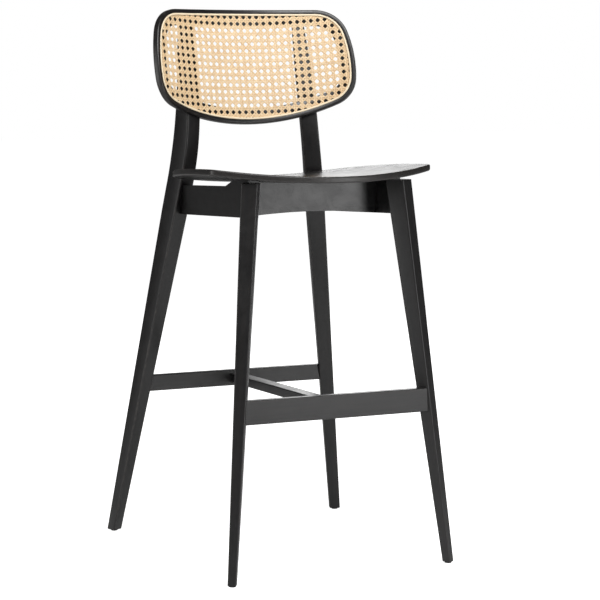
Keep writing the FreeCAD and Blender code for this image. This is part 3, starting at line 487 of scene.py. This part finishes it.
def seat_mesh():
    """Underside, softened lower edge, side, softened upper edge and dished top, ring by ring."""
    profile = []
    shares = (0.06, 0.2, 0.36, 0.52, 0.68, 0.84, 0.96)
    for share in shares:
        profile.append((share, SEAT_SOFTENING, SEAT_THICKNESS, 0.0))
    for step in range(EDGE_STEPS + 1):
        turn = math.pi / 2 * step / EDGE_STEPS
        profile.append((1.0, SEAT_SOFTENING * (1 - math.sin(turn)),
                        SEAT_THICKNESS - SEAT_SOFTENING * (1 - math.cos(turn)), 1.0))
    for step in range(EDGE_STEPS + 1):
        turn = math.pi / 2 * step / EDGE_STEPS
        profile.append((1.0, SEAT_SOFTENING * (1 - math.cos(turn)),
                        SEAT_SOFTENING * (1 - math.sin(turn)), 1.0))
    for share in reversed(shares):
        profile.append((share, SEAT_SOFTENING, 0.0, 0.0))
    rings, ply, side_values = [], [], []
    centre = Vector((0, SEAT_DEPTH / 2))
    for share, inset, depth, on_side in profile:
        ring = []
        for p in rounded_outline(inset, **SEAT_RADII):
            q = centre + (p - centre) * share
            y = q.y + SEAT_FRONT_Y
            ring.append(Vector((q.x, y, seat_height(q.x, y) - depth)))
        rings.append(ring)
        ply += [depth] * len(ring)
        side_values += [on_side] * len(ring)
    mesh = ring_mesh("seat_panel", rings, poles=True)
    for values, end_values in ((ply, (SEAT_THICKNESS, 0.0)), (side_values, (0.0, 0.0))):
        values.extend(end_values)
    per_vertex(mesh, "ply", ply)
    per_vertex(mesh, "side", side_values)
    return mesh


seat = seat_mesh()
grain_vectors(seat, Vector((0, 1, 0)), 5.1)
edge_shares(seat)
seat_black = black_lacquer("black_lacquered_seat", 0.36, warm=0.8, sheen_and_wear_amount=0.35, grain_depth=0.8, ply=True)
show("seat_panel", seat, seat_black, ["seat_panel"])

# ---------------------------------------------------------------- back frame
# A ring of bent plywood, curved round the sitter and leaning back, with a rebate in its front for the
# cane.  Outer edges rounded; lacquered black and screwed to the two posts from behind.
BACK_BEND = BACK_BEND_MM * MM
BACK_PLACE = Vector((0, BACK_FOOT_Y, BACK_FOOT_Z)) * MM
BACK_RADII = dict(half_width=234.0, widest=109.5, length=240.0, side=262.0, far=1670.0, far_corner=73.5,
                  near=612.0, near_corner=62.0)
BACK_THICKNESS = BACK_THICKNESS_MM * MM
RIM = 8.8 * MM
RING_WIDTH = 32.0 * MM
REBATE = 3.2 * MM
RIM_ROUNDING = 3.0 * MM
INNER_ROUNDING = 1.0 * MM
lean = Matrix.Translation(BACK_PLACE) @ Matrix.Rotation(-BACK_SLOPE, 4, "X")


def bent(x, z, depth):
    """A point of the flat panel, depth behind its front face, bent round the sitter and leaned back."""
    angle = x / BACK_BEND
    radius = BACK_BEND + depth
    return lean @ Vector((radius * math.sin(angle), radius * math.cos(angle) - BACK_BEND, z))


def quarter(inset, depth, radius, start, steps=4):
    """Points (inset, depth) of a rounded corner; start is its first direction, in quarter turns."""
    points = []
    for step in range(steps + 1):
        angle = math.pi / 2 * (start + step / steps)
        points.append((inset + radius * math.cos(angle), depth + radius * math.sin(angle)))
    return points


def back_frame_section():
    """Section of the ring: rounded rim, rebate, inner edge and rounded rear."""
    r, s = RIM_ROUNDING, INNER_ROUNDING
    t, w = BACK_THICKNESS, RING_WIDTH
    section = quarter(r, r, r, 2)
    section += quarter(RIM - s, s, s, 3)
    section += [(RIM, REBATE)]
    section += quarter(w - s, REBATE + s, s, 3)
    section += quarter(w - s, t - s, s, 0)
    section += quarter(r, t - r, r, 1)
    return section


section = back_frame_section()
outlines = [rounded_outline(inset, **BACK_RADII) for inset, depth in section]
rings = []
grain = []
for (inset, depth), outline in zip(section, outlines):
    rings.append([bent(p.x, p.y, depth) for p in outline])
    for p in outline:
        grain += [p.y + 6.2, depth, p.x]
back = ring_mesh("back_frame", rings, closed=True)
back.attributes.new("grain", "FLOAT_VECTOR", "POINT").data.foreach_set("vector", grain)
rounded_points = (1, 2, 3, *range(len(section) - 4, len(section)))
per_vertex(back, "edge", [float(i in rounded_points) for i, outline in enumerate(outlines) for p in outline])
show("back_frame", back, frame_black, ["back_frame"])

# ---------------------------------------------------------------- woven cane
# Natural rattan cane in the six-way pattern: strands in pairs up and across, locked over and under
# each other, and two sets of diagonals threaded through them, leaving eight-sided holes.
PITCH = 14.3 * MM
PAIR_OFFSET = 1.6 * MM
STRAND_WIDTH = 2.7 * MM
DIAGONAL_WIDTH = 2.8 * MM
STRAND_THICKNESS = 0.45 * MM
PAIR_LIFT = 0.30 * MM
DIAGONAL_LIFT = 0.62 * MM
CANE_DEPTH = 2.4 * MM
CANE_INSET = RIM + 1.7 * MM
ACROSS_START = 1.1 * MM
UP_START = 2.85 * MM
STRAND_SECTION = ((-0.5, -0.25), (-0.43, 0.35), (-0.16, 0.75), (0.16, 0.75), (0.43, 0.35), (0.5, -0.25))
dice = random.Random(7)
cane_edge = rounded_outline(CANE_INSET, **BACK_RADII)


def reach_inside(start, direction):
    """The two distances along a line at which it crosses the edge of the cane."""
    low, high = -1e3, 1e3
    centre = Vector((0, BACK_RADII["length"] * MM / 2))
    for a, b in zip(cane_edge, cane_edge[1:] + cane_edge[:1]):
        normal = Vector((b.y - a.y, a.x - b.x))
        if normal.dot(centre - a) > 0:
            normal = -normal
        speed = normal.dot(direction)
        gap = normal.dot(a - start)
        if abs(speed) < 1e-12:
            if gap < 0:
                return None
        elif speed > 0:
            high = min(high, gap / speed)
        else:
            low = max(low, gap / speed)
    return (low, high) if high - low > PITCH / 2 else None


def stations(low, high, marks, period):
    """Distances at which a strand gets a section: its two ends and the repeated marks between them."""
    found = [low, high]
    first = math.floor(low / period) - 1
    for cell in range(first, math.ceil(high / period) + 1):
        found += [cell * period + mark for mark in marks if low < cell * period + mark < high]
    return sorted(found)


def pair_wave(distance, sign):
    """Height of a paired strand: over one strand of the crossing pair and under the other."""
    u = (distance / PITCH + 0.5) % 1.0 * PITCH - PITCH / 2
    if abs(u) > 2 * PAIR_OFFSET:
        return 0.0
    return sign * PAIR_LIFT * math.sin(math.pi * u / (2 * PAIR_OFFSET))


def weave(name, strands):
    """One mesh of all the strands that run one way."""
    points, faces, fibre, tone = [], [], [], []
    count = len(STRAND_SECTION)
    for start, direction, period, width, marks, height in strands:
        span = reach_inside(start, direction)
        if span is None:
            continue
        side = Vector((-direction.y, direction.x))
        shade = dice.random()
        width *= dice.uniform(0.94, 1.05)
        drift = dice.uniform(-0.12, 0.12) * MM
        first = len(points)
        along = stations(*span, marks, period)
        for distance in along:
            middle = start + direction * distance + side * drift
            lift = height(distance)
            for u, h in STRAND_SECTION:
                p = middle + side * (u * width)
                points.append(bent(p.x, p.y, CANE_DEPTH - lift - h * STRAND_THICKNESS))
                fibre += [u * width, shade * 9.0, distance + 4.0 * shade]
                tone.append(shade)
        for i in range(len(along) - 1):
            for k in range(count):
                low, n = first + i * count, (k + 1) % count
                faces.append((low + k, low + n, low + count + n, low + count + k))
        faces.append(tuple(first + k for k in reversed(range(count))))
        faces.append(tuple(len(points) - count + k for k in range(count)))
    mesh = bpy.data.meshes.new(name)
    mesh.from_pydata([tuple(p) for p in points], [], faces)
    mesh.update()
    mesh.attributes.new("grain", "FLOAT_VECTOR", "POINT").data.foreach_set("vector", fibre)
    per_vertex(mesh, "tone", tone)
    return mesh


def cane_material(name, pale, deep, roughness):
    """Rattan: a glossy skin, fine fibres along the strand, and tones that differ between strands."""
    made, m, shader = new_material(name)
    place = m.add("Attribute", {"attribute_name": "grain"}).outputs["Vector"]
    tone = m.add("Attribute", {"attribute_name": "tone"}).outputs["Fac"]
    stretched = m.add("VectorMath", {"operation": "MULTIPLY"}, i0=place, i1=(5200.0, 1.0, 160.0)).outputs[0]
    fibres = m.add("TexNoise", Vector=stretched, Scale=1.0, Detail=2.0, Roughness=0.6).outputs[0]
    patches = m.add("TexNoise", Vector=place, Scale=42.0, Detail=3.0, Roughness=0.6).outputs[0]
    depth = m.math("MULTIPLY_ADD", m.ramp(patches, 0.30, 0.75), 0.45, m.math("MULTIPLY", tone, 0.40))
    depth = m.math("MULTIPLY_ADD", m.ramp(fibres, 0.45, 0.75), 0.30, depth, clamp=True)
    m.feed(shader, "Base Color", m.mix(depth, pale, deep))
    m.feed(shader, "Roughness", m.math("MULTIPLY_ADD", fibres, 0.16, roughness))
    bump = m.add("Bump", Strength=0.35, Distance=0.06 * MM, Height=fibres)
    m.feed(shader, "Normal", bump.outputs[0])
    return made


cane = cane_material("rattan_cane", (0.84, 0.66, 0.42, 1.0), (0.60, 0.38, 0.19, 1.0), 0.38)
half = BACK_RADII["half_width"] * MM
tall = BACK_RADII["length"] * MM
columns = range(-math.ceil(half / PITCH), math.ceil(half / PITCH) + 1)
rows = range(-1, math.ceil(tall / PITCH) + 1)
pair_marks = (-2 * PAIR_OFFSET, -PAIR_OFFSET, 0.0, PAIR_OFFSET, 2 * PAIR_OFFSET, PITCH / 2)
slant_period = PITCH * math.sqrt(2)
slant_marks = tuple(slant_period * step / 8 for step in range(8))
uprights, levels, rising, falling = [], [], [], []


def crossing_wave(sign):
    """Height along a paired strand whose sign says which of the crossing strands it goes over."""
    return lambda distance: pair_wave(distance, sign)


for column in columns:
    x = ACROSS_START + column * PITCH
    for sign in (-1, 1):
        at = Vector((x + sign * PAIR_OFFSET, UP_START))
        uprights.append((at, Vector((0, 1)), PITCH, STRAND_WIDTH, pair_marks, crossing_wave(-sign)))
for row in rows:
    z = UP_START + row * PITCH
    for sign in (-1, 1):
        at = Vector((ACROSS_START, z + sign * PAIR_OFFSET))
        levels.append((at, Vector((1, 0)), PITCH, STRAND_WIDTH, pair_marks, crossing_wave(sign)))


def slant_wave(sign):
    """Height of a diagonal: over the pairs that run one way and under those that run the other."""
    return lambda distance: sign * DIAGONAL_LIFT * math.cos(2 * math.pi * distance / slant_period)


slant_count = len(columns) + len(rows) + 2
for number in range(-slant_count, slant_count):
    at = Vector((ACROSS_START + (number + 0.5) * PITCH, UP_START))
    for turn, group in ((1, rising), (-1, falling)):
        direction = Vector((1, turn)).normalized()
        group.append((at, direction, slant_period, DIAGONAL_WIDTH, slant_marks, slant_wave(turn)))

for name, strands in (("cane_uprights", uprights), ("cane_levels", levels), ("cane_rising", rising),
                      ("cane_falling", falling)):
    mesh = weave(name, strands)
    show(name, mesh, cane, ["cane_panel"])

# ---------------------------------------------------------------- reed spline
# A strip of peeled reed that runs all round over the cut edge of the cane.  It is soaked, pressed into
# the rebate and glued, and its crown stands just above the rim.
# Points of its crowned section, in millimetres: across from the rim, and behind the panel's front.
spline_section = [(0.05, 2.4), (0.05, 0.5), (0.35, -0.15), (1.1, -0.5), (2.0, -0.6), (2.9, -0.5),
                  (3.65, -0.15), (3.95, 0.5), (3.95, 2.4)]
rings, fibre = [], []
for across, depth in spline_section:
    outline = rounded_outline(RIM + across * MM, **BACK_RADII)
    rings.append([bent(p.x, p.y, depth * MM) for p in outline])
    travelled = 0.0
    for p, q in zip(outline, outline[-1:] + outline[:-1]):
        travelled += (p - q).length
        fibre += [across * MM, 0.0, travelled]
reed = ring_mesh("cane_spline", rings, closed=True)
reed.attributes.new("grain", "FLOAT_VECTOR", "POINT").data.foreach_set("vector", fibre)
per_vertex(reed, "tone", [0.15] * len(reed.vertices))
reed_skin = cane_material("peeled_reed", (0.88, 0.76, 0.56, 1.0), (0.74, 0.57, 0.36, 1.0), 0.42)
show("cane_spline", reed, reed_skin, ["cane_spline"])

# ---------------------------------------------------------------- dowels
# Turned beech pegs that join the aprons and the stretchers to the legs, glued in blind holes.  They
# are left bare and are hidden when the stool is assembled.
bare_beech, m, shader = new_material("bare_beech")
place = m.add("TexCoord").outputs["Object"]
bands = m.add("TexNoise", Vector=place, Scale=900.0, Detail=3.0, Roughness=0.6).outputs[0]
m.feed(shader, "Base Color", m.mix(bands, (0.50, 0.33, 0.20, 1.0), (0.72, 0.53, 0.36, 1.0)))
m.feed(shader, "Roughness", m.math("MULTIPLY_ADD", bands, 0.2, 0.5))
m.feed(shader, "Normal", m.add("Bump", Strength=0.3, Distance=0.05 * MM, Height=bands).outputs[0])


def recolour(node, material):
    """Gives a CAD piece whose shape is already right its finish."""
    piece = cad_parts[node]
    piece.data.materials.clear()
    piece.data.materials.append(material)
    for slot in piece.material_slots:
        slot.material = material


recolour("apron_dowels", bare_beech)
recolour("stretcher_dowels", bare_beech)

# ---------------------------------------------------------------- screws and nails
# Zinc-plated countersunk wood screws hold the corner blocks, the seat and the back.  The glides are
# held by nails of the same metal.
zinc, m, shader = new_material("zinc_plated_steel")
place = m.add("TexCoord").outputs["Object"]
crystals = m.add("TexVoronoi", Vector=place, Scale=1400.0).outputs["Color"]
stains = m.add("TexNoise", Vector=place, Scale=500.0, Detail=4.0).outputs[0]
m.feed(shader, "Base Color", m.mix(stains, (0.46, 0.46, 0.48, 1.0), (0.68, 0.67, 0.64, 1.0)))
m.feed(shader, "Metallic", 1.0)
m.feed(shader, "Roughness", m.math("MULTIPLY_ADD", stains, 0.25, 0.22))
m.feed(shader, "Normal", m.add("Bump", Strength=0.15, Distance=0.02 * MM, Height=crystals).outputs[0])
for node in ("seat_screws", "corner_block_screws", "back_lower_screws", "back_upper_screws", "glide_nails"):
    recolour(node, zinc)

# ---------------------------------------------------------------- plugs
# Round beech plugs glued into the posts over the heads of the back screws.  They are left standing a
# hair proud of the posts' rear faces and lacquered with them.
PLUG_STANDING = 0.3 * MM
PLUG_EDGE = 0.3 * MM
plugs = finished_timber("back_screw_plugs", "back_screw_plugs", Vector((0.3, 0.2, 1)), 7.7, edge=PLUG_EDGE)
for vertex in plugs.data.vertices:
    vertex.co.y += PLUG_STANDING

# ---------------------------------------------------------------- glides
# Round black nylon glides nailed under the feet, so that the stool slides without marking the floor.
# Moulded with a fine texture and scuffed by use.
nylon, m, shader = new_material("black_nylon")
place = m.add("TexCoord").outputs["Object"]
mould = m.add("TexNoise", Vector=place, Scale=1800.0, Detail=3.0).outputs[0]
scuffs = m.add("TexNoise", Vector=place, Scale=320.0, Detail=5.0, Distortion=1.5).outputs[0]
scuffed = m.ramp(scuffs, 0.5, 0.8)
m.feed(shader, "Base Color", m.mix(scuffed, (0.018, 0.018, 0.019, 1.0), (0.09, 0.085, 0.08, 1.0)))
m.feed(shader, "Roughness", m.math("MULTIPLY_ADD", scuffs, 0.3, 0.4))
m.feed(shader, "Normal", m.add("Bump", Strength=0.2, Distance=0.05 * MM, Height=mould).outputs[0])
recolour("glide_pads", nylon)

# ---------------------------------------------------------------- studio
# A pale floor that runs far back, a plain white room and four large soft lamps.
FLOOR_SIZE = 40.0
floor_mesh = bpy.data.meshes.new("studio_floor")
corner = FLOOR_SIZE / 2
floor_corners = [(-corner, -corner, 0), (corner, -corner, 0), (corner, corner, 0), (-corner, corner, 0)]
floor_mesh.from_pydata(floor_corners, [], [(0, 1, 2, 3)])
floor = bpy.data.objects.new("studio_floor", floor_mesh)
bpy.context.scene.collection.objects.link(floor)
pale, m, shader = new_material("pale_floor")
place = m.add("TexCoord").outputs["Object"]
mottle = m.add("TexNoise", Vector=place, Scale=3.0, Detail=4.0).outputs[0]
m.feed(shader, "Base Color", m.mix(mottle, (0.86, 0.86, 0.86, 1.0), (0.89, 0.89, 0.885, 1.0)))
m.feed(shader, "Roughness", m.math("MULTIPLY_ADD", mottle, 0.1, 0.6))
m.feed(shader, "Emission Color", (1.0, 1.0, 1.0, 1.0))
m.feed(shader, "Emission Strength", m.math("MULTIPLY", m.add("LightPath").outputs["Is Camera Ray"], 0.93))
floor_mesh.materials.append(pale)

world = bpy.data.worlds.new("studio")
world.use_nodes = True
w = Maker(world.node_tree)
seen = w.add("LightPath").outputs["Is Camera Ray"]
glow = world.node_tree.nodes["Background"]
w.feed(glow, "Color", (1.0, 1.0, 1.0, 1.0))
w.feed(glow, "Strength", w.math("MULTIPLY_ADD", seen, 0.90, 0.10))
bpy.context.scene.world = world
bpy.context.scene.view_settings.view_transform = "Standard"
AIM = Vector((0.0, 0.0, 0.60))
for name, place, size, power in (("high_softbox", (-0.5, -2.3, 3.3), (2.2, 1.6), 135.0),
                                 ("left_softbox", (-2.9, 0.1, 1.0), (0.7, 1.9), 16.0),
                                 ("right_softbox", (1.3, -2.7, 0.8), (1.0, 1.3), 22.0),
                                 ("back_softbox", (2.4, 3.0, 1.3), (2.0, 1.4), 26.0)):
    lamp = bpy.data.lights.new(name, "AREA")
    lamp.shape = "RECTANGLE"
    lamp.energy = power
    lamp.size, lamp.size_y = size
    holder = bpy.data.objects.new(name, lamp)
    holder.location = place
    holder.rotation_euler = (AIM - Vector(place)).to_track_quat("-Z", "Y").to_euler()
    bpy.context.scene.collection.objects.link(holder)

# ---------------------------------------------------------------- camera
# Stands to the left of the front, a little above the seat, with a long lens.  It looks slightly down.
CAMERA_PLACE = (-1.8506, -3.9919, 1.0003)
LOOKS_DOWN = math.radians(6.441)
LOOKS_RIGHT = math.radians(25.363)
camera_data = bpy.data.cameras.new("camera")
camera_data.sensor_width = 36.0
camera_data.lens = 131.77
camera = bpy.data.objects.new("camera", camera_data)
camera.location = CAMERA_PLACE
camera.rotation_euler = (math.pi / 2 - LOOKS_DOWN, 0.0, -LOOKS_RIGHT)
bpy.context.scene.collection.objects.link(camera)
bpy.context.scene.camera = camera
